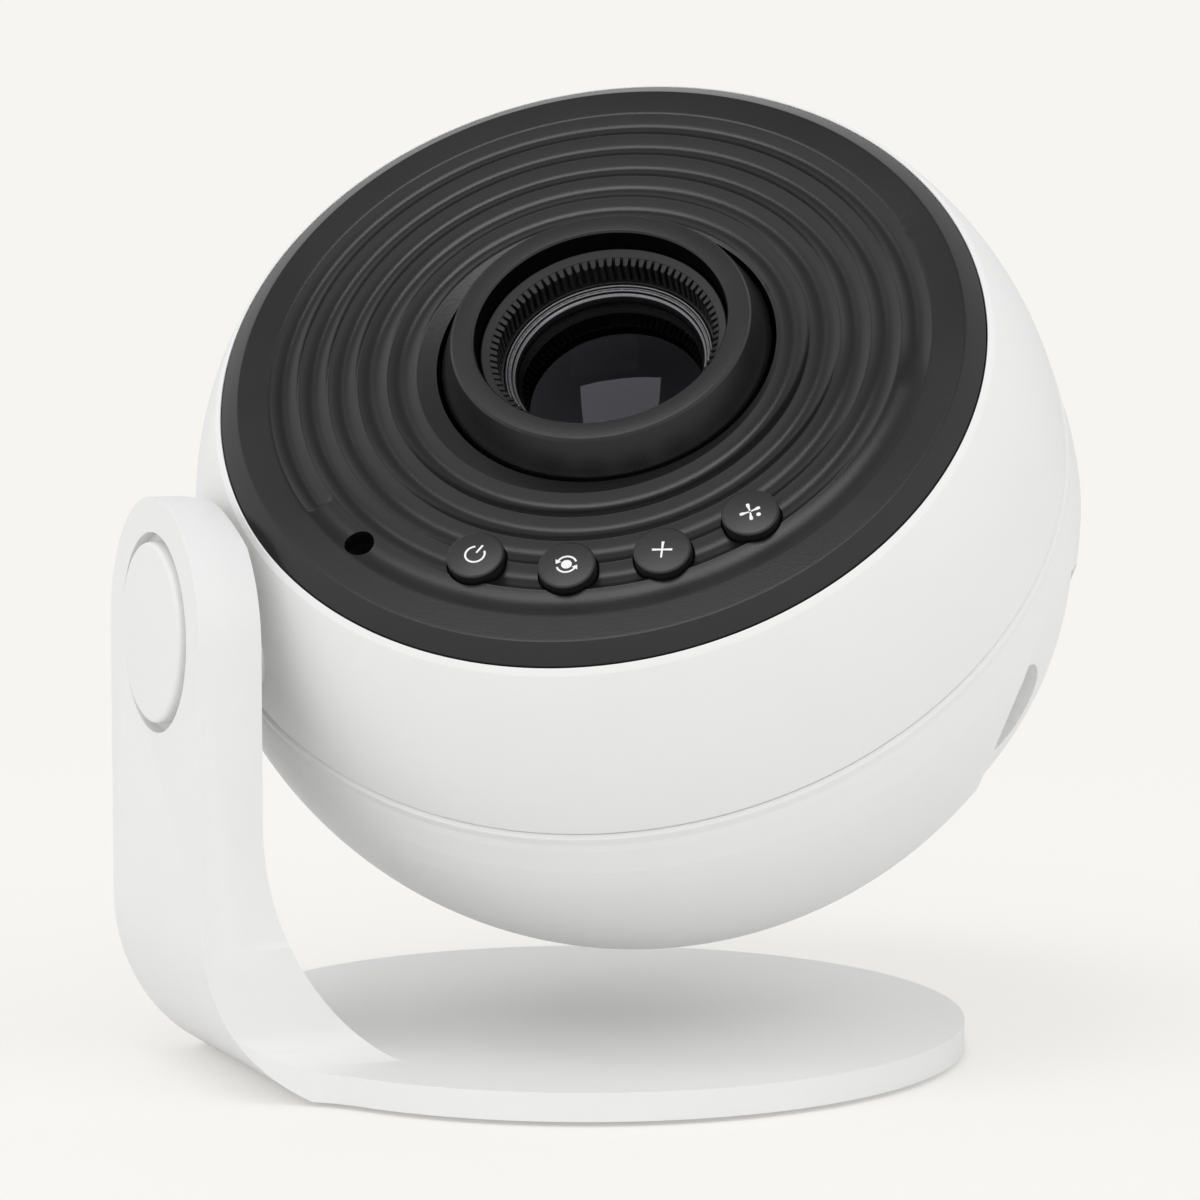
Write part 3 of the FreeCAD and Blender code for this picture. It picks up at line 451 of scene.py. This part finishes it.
# %% Drawer front
door_round = 0.3
soft_copy("disc_door", "disc_door_skin", "drawer", "shell_white", door_round)

# %% [markdown]
# ## The front panel
# The rippled panel is turned like the shells. Beside the buttons the outermost ripple is only a faint hollow:
# it ends short on one side and runs out on the other, and the next two grow shallower there. So after the
# spin each ring of points is lowered by a depth that depends on its angle.

# %% Front panel
panel_top_z, panel_low_z, bevel_radius = 38.2, 35.2, 59.6
crest_outer, crest_pitch, ripples, ripple_depth = 54.3, 4.9, 5, 1.1
shallow_from, shallow_to = 191.5, 331.5                  # degrees, the sector that carries the buttons
sector_depths = (0.3, 0.7, 0.7)                          # of the three outer ripples there
fade_from, fade_to = (0.35, 24.0, 24.0), (14.0, 24.0, 24.0)     # degrees over which they change
crest_cut, crest_round, inner_depth_share = 0.04, 0.06, 0.8
panel_bore, bore_lip, bore_drop = 27.9, 1.6, 0.4
touching = 0.01


def ripple_drop(radius, degrees):
    """How far the panel lies below its top at a radius and an angle."""
    inward = (crest_outer - radius) / crest_pitch
    ring = math.floor(inward)
    if radius >= crest_outer or ring >= ripples:
        return 0.0
    share = inward - ring
    parabola = 4.0 * share * (1.0 - share) - crest_cut
    hollow = 0.5 * (parabola + math.hypot(parabola, crest_round))
    if ring >= len(sector_depths):
        return inner_depth_share * ripple_depth * hollow
    fade = 0.5 + min((degrees - shallow_from) / fade_from[ring], (shallow_to - degrees) / fade_to[ring])
    fade = min(1.0, max(0.0, fade))
    fade = fade * fade * (3.0 - 2.0 * fade)
    return (ripple_depth * (1.0 - fade) + sector_depths[ring] * fade) * hollow


shares = (0.0, 0.012, 0.025, 0.04, 0.06, 0.1, 0.18, 0.3, 0.42, 0.5)
shares += tuple(1.0 - share for share in reversed(shares[1:-1]))
face_radii = [crest_outer - crest_pitch * (ring + share) for ring in range(ripples) for share in shares]
face_radii.append(crest_outer - crest_pitch * ripples)
edge_slope = (panel_top_z - panel_edge_z) / (panel_radius - bevel_radius)
near_bevel, near_crest = 0.6, 0.5        # extra rings beside the bevel and the first crest keep the land flat
panel_outline = [(panel_radius, panel_low_z, 0), (panel_radius, panel_edge_z, 0.2),
                 (bevel_radius + near_bevel, panel_top_z - near_bevel * edge_slope, 0),
                 (bevel_radius, panel_top_z, 0.35), (bevel_radius - near_bevel, panel_top_z, 0),
                 (crest_outer + near_crest, panel_top_z, 0)]
panel_outline += [(radius, panel_top_z, 0) for radius in face_radii]
panel_outline += [(panel_bore - bore_lip, panel_top_z - bore_drop, 0.2),
                  (panel_bore - bore_lip, panel_low_z, 0)]
panel_mesh = spin_section(soften(panel_outline), 720)
for vert in panel_mesh.verts:
    radius = math.hypot(vert.co.x, vert.co.y) / MM
    if abs(vert.co.z / MM - panel_top_z) < touching and radius < crest_outer + touching:
        vert.co.z -= ripple_drop(radius, math.degrees(math.atan2(vert.co.y, vert.co.x)) % 360.0) * MM
front_panel = make_piece(panel_mesh, "front_panel_skin", head_place, "head", "panel_black", ("front_panel",),
                         fine_sharp)

# %% Holes in the panel: lens, four buttons, meteor port
button_ring, button_middle, button_step, button_radius = 45.5, 255.0, 19.0, 4.6
port_ring, port_azimuth, port_radius = 51.8, 204.0, 2.4
button_gap, cut_low, cut_high = 0.3, 30.0, 50.0
button_azimuths = [button_middle + (i - 1.5) * button_step for i in range(4)]
cutters = bmesh.new()
add_rod(cutters, lens_place, panel_bore, cut_low, cut_high, 256)
for azimuth in button_azimuths:
    add_rod(cutters, head_place @ around(azimuth) @ Matrix.Translation((button_ring * MM, 0, 0)),
            button_radius + button_gap, cut_low, cut_high, 96)
add_rod(cutters, head_place @ around(port_azimuth) @ Matrix.Translation((port_ring * MM, 0, 0)), port_radius,
        cut_low, cut_high, 64)
cut_away(front_panel, cutters, fine_sharp)

# %% [markdown]
# ## Focus ring and lens
# The focus ring is a cone with a flat land on top. Inside it sits the lens barrel, whose mouth has fine grips
# all round. One grip is modelled and then copied by a spin, so that every grip is the same and stays light.

# %% Focus ring
ring_outline = [(27.0, 30.0, 0), (27.0, 37.9, 0.4), (24.55, 43.7, 0.3), (24.15, 44.1, 0.3),
                (20.95, 44.1, 0.2), (20.65, 43.75, 0.2), (20.65, 33.5, 0.1), (23.6, 33.5, 0.1),
                (23.6, 30.0, 0)]
focus_ring = make_piece(spin_section(soften(ring_outline), shell_steps), "focus_ring_skin", lens_place,
                        "focus", "ring_black", ("focus_ring",), fine_sharp)

# %% Painted shade: a dead black inside the focus ring's bore
# The bore's inner wall gets a near-black finish without sheen: painted shade for the shadow that falls inside the
# ring.
bore_painted_shade = moulded("bore_painted_shade_black", (0.002, 0.002, 0.002), 0.7, grain_mm=0.03, shine=0.02)
focus_ring.data.materials.append(bore_painted_shade)
bore_limit, bore_top = 20.8, 43.6
lens_middle = lens_place.translation
for face in focus_ring.data.polygons:
    outward = face.center - lens_middle
    height = outward.dot(optical_axis)
    outward -= height * optical_axis
    if outward.length < bore_limit * MM and height < bore_top * MM:
        face.material_index = 1
print("bore faces", sum(face.material_index == 1 for face in focus_ring.data.polygons))

# %% Lens barrel with its fluted mouth
barrel_outline = [(20.22, -10.0, 0), (20.22, 40.4, 0.15), (19.95, 40.5, 0.1), (18.75, 39.85, 0.15),
                  (18.6, 39.4, 0.1), (18.6, 35.3, 0), (17.3, 35.3, 0.1), (17.3, -10.0, 0)]
grip_count = 84
barrel = spin_section(soften(barrel_outline), 3 * grip_count)

# %% One grip, wedge-shaped in section and sloping at its upper end
grip_size, grip_middle = (1.3, 0.94, 4.2), (18.25, 0, 37.35)
split_radius, split_z = 18.0 * MM, 38.0 * MM
inner_width_share, inner_down, outer_up, grip_round = 0.75, 0.35, 0.42, 0.22
grip = bmesh.new()
add_box(grip, Matrix.Identity(4), grip_size, grip_middle)
for vert in grip.verts:
    inner, upper = vert.co.x < split_radius, vert.co.z > split_z
    if inner:
        vert.co.y *= inner_width_share
    if upper:
        vert.co.z += (-inner_down if inner else outer_up) * MM
round_edges = [e for e in grip.edges if all(v.co.x < split_radius for v in e.verts)]
bmesh.ops.bevel(grip, geom=round_edges, offset=grip_round * MM, offset_type="OFFSET", segments=2, profile=0.5,
                affect="EDGES", clamp_overlap=True, material=-1)
print("faces of one grip", len(grip.faces))

# %% All grips, joined to the barrel
bmesh.ops.spin(grip, geom=grip.verts[:] + grip.edges[:] + grip.faces[:], cent=(0, 0, 0), axis=(0, 0, 1),
               angle=TURN * (grip_count - 1) / grip_count, steps=grip_count - 1, use_duplicate=True)
grips = bpy.data.meshes.new("grips")
grip.to_mesh(grips)
grip.free()
barrel.from_mesh(grips)
bmesh.ops.recalc_face_normals(barrel, faces=barrel.faces)
lens_sharp = 30.0
make_piece(barrel, "lens_barrel_skin", lens_place, "lens_carrier", "barrel_black", ("lens_barrel",),
           lens_sharp)

# %% Lens retainer
retainer_outline = [(17.25, 32.6, 0), (17.25, 35.2, 0.3), (16.7, 35.25, 0.35), (16.6, 34.7, 0.15),
                    (16.1, 34.7, 0.4), (16.0, 34.1, 0.15), (15.55, 34.0, 0.4), (15.4, 33.2, 0.2),
                    (15.4, 32.7, 0)]
make_piece(spin_section(soften(retainer_outline, 6), 256), "lens_retainer_skin", lens_place, "lens_carrier",
           "retainer_chrome", ("lens_retainer",), 40.0)

# %% Three lenses
lens_radius, lens_flat = 17.25, 1.5
# The front glass is tinted nearly black: painted shade standing in for the dark inside of the lens, seen through
# it.
front_glass_painted_shade = optical_glass("front_glass_painted_shade", (0.03, 0.03, 0.034), 1.27, (0.90, 0.87, 1.0))
inner_glass = optical_glass("inner_glass", (0.30, 0.29, 0.34), 1.2, (0.80, 0.74, 1.0))


def dome(reach, height, bulge):
    """Corners of a lens face that bulges from a flat rim at a height."""
    curve = (reach ** 2 + bulge ** 2) / (2 * abs(bulge))
    half = math.asin(reach / curve) / 2
    sag = math.copysign(curve * (1 - math.cos(half)), bulge)
    through = (curve * math.sin(half), height + bulge - sag)
    return arc_corners((reach, height), through, (0, height + bulge), 20)


def add_lens(node, low, high, bulge_low, bulge_high, material):
    """A lens between two heights, with a bulge on each side."""
    reach = lens_radius - lens_flat
    upper_face, lower_face = dome(reach, high, bulge_high), dome(reach, low, -bulge_low)
    outline = [(lens_radius, low, 0), (lens_radius, high, 0.1), (reach, high, 0), *upper_face,
               (0, high + bulge_high, 0), (0, low - bulge_low, 0), *reversed(lower_face), (reach, low, 0)]
    make_piece(spin_section(soften(outline), 160), node + "_skin", lens_place, "lens_carrier", "lens_glass",
               (node,), lens_sharp, material)


add_lens("front_lens", 28.4, 32.5, 1.5, 2.2, front_glass_painted_shade)
add_lens("middle_lens", 12.0, 14.5, 1.2, 2.0, inner_glass)
add_lens("rear_lens", -6.0, -2.5, 2.5, 1.0, inner_glass)

# %% [markdown]
# ## Buttons and their symbols
# Each button is a small turned cap. Its symbol is printed, so it is a thin mesh that stands a few hundredths
# of a millimetre proud. The symbols are generic: power, turn, plus and a spark with a dot.

# %% Button caps
button_top_z, print_height = 39.7, 0.04
button_names = ("power_button", "rotate_button", "plus_button", "meteor_button")
flange_radius, flange_top, flange_low = 5.4, 35.1, 34.4
cap_outline = [(0, button_top_z, 0), (button_radius, button_top_z, 0.45), (button_radius, flange_top, 0),
               (flange_radius, flange_top, 0), (flange_radius, flange_low, 0), (0, flange_low, 0)]


def button_place(azimuth):
    """On the button's own axis, with Y towards the lens."""
    return head_place @ around(azimuth + 90.0) @ Matrix.Translation((0, -button_ring * MM, 0))


for name, azimuth in zip(button_names, button_azimuths):
    make_piece(spin_section(soften(cap_outline), 96), name + "_cap", button_place(azimuth), name + "_cap",
               "button_black", (name,), fine_sharp)

# %% Pens for the symbols
print_white = moulded("printed_white", (0.85, 0.85, 0.85), 0.5, tint=0.03)
print_z = (button_top_z + print_height) * MM
print_thickness, line_width, symbol_radius = 0.03, 0.32, 1.55


def stroke(bm, points, widths):
    """A flat ribbon of the given widths along points, in mm, on the button's face."""
    spots = [Vector((x, y)) for x, y in points]
    last = len(spots) - 1
    rails = []
    for i, spot in enumerate(spots):
        along = (spots[min(i + 1, last)] - spots[max(i - 1, 0)]).normalized()
        side = Vector((-along.y, along.x)) * widths[i] / 2
        rails.append([bm.verts.new((*(spot + s * side) * MM, print_z)) for s in (-1, 1)])
    for (a, b), (c, d) in zip(rails, rails[1:]):
        bm.faces.new((a, c, d, b))


def circle_points(radius, start, end, pieces):
    """Points along a circle between two angles in degrees."""
    return [(radius * math.cos(math.radians(start + (end - start) * i / pieces)),
             radius * math.sin(math.radians(start + (end - start) * i / pieces))) for i in range(pieces + 1)]


def dot(bm, radius, x, y):
    """A round spot, in mm."""
    made = bmesh.ops.create_circle(bm, cap_ends=True, radius=radius * MM, segments=24)
    bmesh.ops.translate(bm, vec=Vector((x * MM, y * MM, print_z)), verts=made["verts"])


# %% The four symbols
def power_symbol(bm):
    stroke(bm, circle_points(symbol_radius, 125, 415, 32), [line_width] * 33)
    stroke(bm, [(0, 0.35), (0, 1.2), (0, 2.05)], [0.3, 0.34, 0.34])


def turn_symbol(bm):
    sweep = 130
    for start in (20, 200):
        points = circle_points(symbol_radius, start, start + sweep, 18)
        stroke(bm, points, [line_width] * 19)
        x, y = points[-1]
        heading = math.radians(start + sweep + 90)
        tip = (x + 0.7 * math.cos(heading), y + 0.7 * math.sin(heading))
        stroke(bm, [(x, y), tip], [1.1, 0.08])
    dot(bm, 0.85, 0, 0)


def plus_symbol(bm):
    stroke(bm, [(-1.6, 0), (-0.8, 0), (0, 0), (0.8, 0), (1.6, 0)], [0.42, 0.36, 0.3, 0.36, 0.42])
    stroke(bm, [(0, -1.6), (0, -0.8), (0, -0.15)], [0.28, 0.3, 0.3])
    stroke(bm, [(0, 0.15), (0, 0.8), (0, 1.6)], [0.3, 0.36, 0.44])


def spark_symbol(bm):
    for degrees in (10, 90, 180, 262):
        a = math.radians(degrees)
        spots = [(r * math.cos(a), r * math.sin(a)) for r in (0.15, 0.8, 1.3, 1.7)]
        stroke(bm, spots, [0.22, 0.34, 0.6, 0.42])
    dot(bm, 0.36, 1.1, -1.0)


symbols = (power_symbol, turn_symbol, plus_symbol, spark_symbol)
symbol_turns = (12, 0, 20, 18)           # degrees, each one's turn on its button
for name, azimuth, draw, turned in zip(button_names, button_azimuths, symbols, symbol_turns):
    bm = bmesh.new()
    draw(bm)
    bmesh.ops.recalc_face_normals(bm, faces=bm.faces)
    for face in bm.faces:
        if face.normal.z < 0:
            face.normal_flip()
    bmesh.ops.solidify(bm, geom=bm.faces[:], thickness=print_thickness * MM)
    bmesh.ops.recalc_face_normals(bm, faces=bm.faces)
    make_piece(bm, name + "_print", button_place(azimuth) @ around(-turned), name + "_cap", "button_black",
               material=print_white)

# %% [markdown]
# ## The stand
# The stand is one moulding. Its CAD solid already has the whole form, with all its pockets, so a copy of that
# mesh is merged, its flat faces are joined up again, and its edges get the soft round of a moulded part.

# %% Stand
stand_round = 0.45
soft_copy("stand_body", "stand_skin", "stand", "stand_white", stand_round)

# %% Pivot cap
cap_radius, cap_face, recess_floor = 14.6, -77.3, -74.5
floor_gap = 0.2
cap_back = recess_floor - floor_gap
pivot_cap = soften([(0, cap_face, 0), (cap_radius, cap_face, 0.9), (cap_radius, cap_back, 0.1),
                    (0, cap_back, 0)], 6)
make_piece(spin_section(pivot_cap, 160), "pivot_cap_skin", to_pivot, "stand", "stand_white", ("pivot_cap",),
           fine_sharp)

# %% [markdown]
# ## Floor and light
# The object stands on a plain pale floor under a large soft sky. Near the object the floor takes its light
# and its shadow, and farther out it fades into the backdrop's own colour, so that no horizon shows. The sky
# is darker overhead, where the tilted panel mirrors it, so that the black stays deep. One lamp, high at the
# front left, is mirrored in the lens.

# %% Floor
floor_half = 6.0
floor_mesh = bmesh.new()
bmesh.ops.create_grid(floor_mesh, x_segments=1, y_segments=1, size=floor_half)
floor_data = bpy.data.meshes.new("floor")
floor_mesh.to_mesh(floor_data)
floor_mesh.free()
floor = bpy.data.objects.new("floor", floor_data)
bpy.context.scene.collection.objects.link(floor)
print("floor is", 2 * floor_half, "m wide")

# %% Floor finish
backdrop_colour = (0.922, 0.913, 0.880)
seen_floor, lit_floor = (0.93, 0.922, 0.89), (0.86, 0.855, 0.845)
fade_start, fade_end, least_glow = 0.14, 0.45, 0.45      # metres from the object, and the glow's share there
floor_material, floor_shader = shader("pale_floor", seen_floor, 0.8)
floor_shader.inputs["Specular IOR Level"].default_value = 0.0
floor_tree = floor_material.node_tree
glow = floor_tree.nodes.new("ShaderNodeEmission")
glow.inputs["Color"].default_value = (*backdrop_colour, 1.0)
paths = floor_tree.nodes.new("ShaderNodeLightPath")
floor_colours = blend_colours(floor_material, paths.outputs["Is Camera Ray"], lit_floor, seen_floor)
floor_tree.links.new(floor_colours, floor_shader.inputs["Base Color"])
share = floor_tree.nodes.new("ShaderNodeMath")
share.operation = "MULTIPLY"
floor_spot = floor_tree.nodes.new("ShaderNodeTexCoord")
far_out = floor_tree.nodes.new("ShaderNodeVectorMath")
far_out.operation = "LENGTH"
fade = floor_tree.nodes.new("ShaderNodeMapRange")
fade.inputs["From Min"].default_value = fade_start
fade.inputs["From Max"].default_value = fade_end
fade.inputs["To Min"].default_value = least_glow
fade.inputs["To Max"].default_value = 1.0
floor_tree.links.new(floor_spot.outputs["Object"], far_out.inputs[0])
floor_tree.links.new(far_out.outputs["Value"], fade.inputs["Value"])
floor_tree.links.new(fade.outputs["Result"], share.inputs[1])
lighten = floor_tree.nodes.new("ShaderNodeMixShader")
floor_tree.links.new(paths.outputs["Is Camera Ray"], share.inputs[0])
floor_tree.links.new(share.outputs["Value"], lighten.inputs["Fac"])
floor_tree.links.new(floor_shader.outputs["BSDF"], lighten.inputs[1])
floor_tree.links.new(glow.outputs["Emission"], lighten.inputs[2])
floor_tree.links.new(lighten.outputs["Shader"], floor_tree.nodes["Material Output"].inputs["Surface"])
floor_data.materials.append(floor_material)
floor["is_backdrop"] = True
print("floor fades to the backdrop between", fade_start, "and", fade_end, "m")

# %% Sky
world = bpy.data.worlds.new("studio")
bpy.context.scene.world = world
world.use_nodes = True
sky = world.node_tree
background = sky.nodes["Background"]
direction = sky.nodes.new("ShaderNodeTexCoord")
split = sky.nodes.new("ShaderNodeSeparateXYZ")
ramp = sky.nodes.new("ShaderNodeValToRGB")
horizon, zenith = (0.80, 0.80, 0.80, 1.0), (0.36, 0.36, 0.37, 1.0)
bright_from, bright_to, bright_level = 0.38, 0.74, 0.98
ramp.color_ramp.elements[0].position = 0.0
ramp.color_ramp.elements[0].color = horizon
ramp.color_ramp.elements[1].position = 1.0
ramp.color_ramp.elements[1].color = zenith
for height in (bright_from, bright_to):
    ramp.color_ramp.elements.new(height).color = (bright_level, bright_level, bright_level, 1.0)
sky.links.new(direction.outputs["Generated"], split.inputs["Vector"])
sky.links.new(split.outputs["Z"], ramp.inputs["Fac"])
print("sky levels:", horizon[0], bright_level, zenith[0])

# %% A darker side behind the object
toward_back, front_lift, back_lift = (0.5, 0.85, 0.0), 1.27, 0.82
lift = sky.nodes.new("ShaderNodeMix")
lift.data_type = "RGBA"
lift.blend_type = "MULTIPLY"
lift.inputs["Factor"].default_value = 1.0
away = sky.nodes.new("ShaderNodeVectorMath")
away.operation = "DOT_PRODUCT"
away.inputs[1].default_value = toward_back
sky.links.new(direction.outputs["Generated"], away.inputs[0])
behind = sky.nodes.new("ShaderNodeMapRange")
behind.inputs["From Min"].default_value = -0.4
behind.inputs["From Max"].default_value = 0.9
behind.inputs["To Min"].default_value = front_lift
behind.inputs["To Max"].default_value = back_lift
sky.links.new(away.outputs["Value"], behind.inputs["Value"])
sky.links.new(behind.outputs["Result"], lift.inputs["B"])
sky.links.new(ramp.outputs["Color"], lift.inputs["A"])
print("sky lift in front and behind:", front_lift, back_lift)

# %% The plain backdrop that the camera sees instead of the sky
seen = sky.nodes.new("ShaderNodeLightPath")
choose = sky.nodes.new("ShaderNodeMix")
choose.data_type = "RGBA"
choose.inputs["B"].default_value = (*backdrop_colour, 1.0)
sky.links.new(seen.outputs["Is Camera Ray"], choose.inputs["Factor"])
sky.links.new(lift.outputs["Result"], choose.inputs["A"])
sky.links.new(choose.outputs["Result"], background.inputs["Color"])
print("backdrop", backdrop_colour)


# %% Lamp
def softbox(name, azimuth, elevation, distance, width, height, turned, power):
    """A rectangular lamp that faces the object, turned about its own axis."""
    lamp = bpy.data.lights.new(name, "AREA")
    lamp.shape = "RECTANGLE"
    lamp.size, lamp.size_y = width, height
    lamp.energy = power
    lamp_object = bpy.data.objects.new(name, lamp)
    aim = around(azimuth) @ Matrix.Rotation(math.radians(90.0 - elevation), 4, "X")
    lamp_object.matrix_world = (Matrix.Translation(ball_centre) @ aim @ Matrix.Translation((0, 0, distance))
                                @ around(turned))
    bpy.context.scene.collection.objects.link(lamp_object)
    print("lamp", name, "at", [round(c, 2) for c in lamp_object.matrix_world.translation])


softbox("key", azimuth=-58.3, elevation=68.5, distance=4.0, width=1.55, height=1.2, turned=27.7, power=22.0)

new_low, new_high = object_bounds()
growth = [round((a - b) / MM, 2) for a, b in zip(new_high, cad_high)]
print("grown by mm:", growth, [round((a - b) / MM, 2) for a, b in zip(cad_low, new_low)])
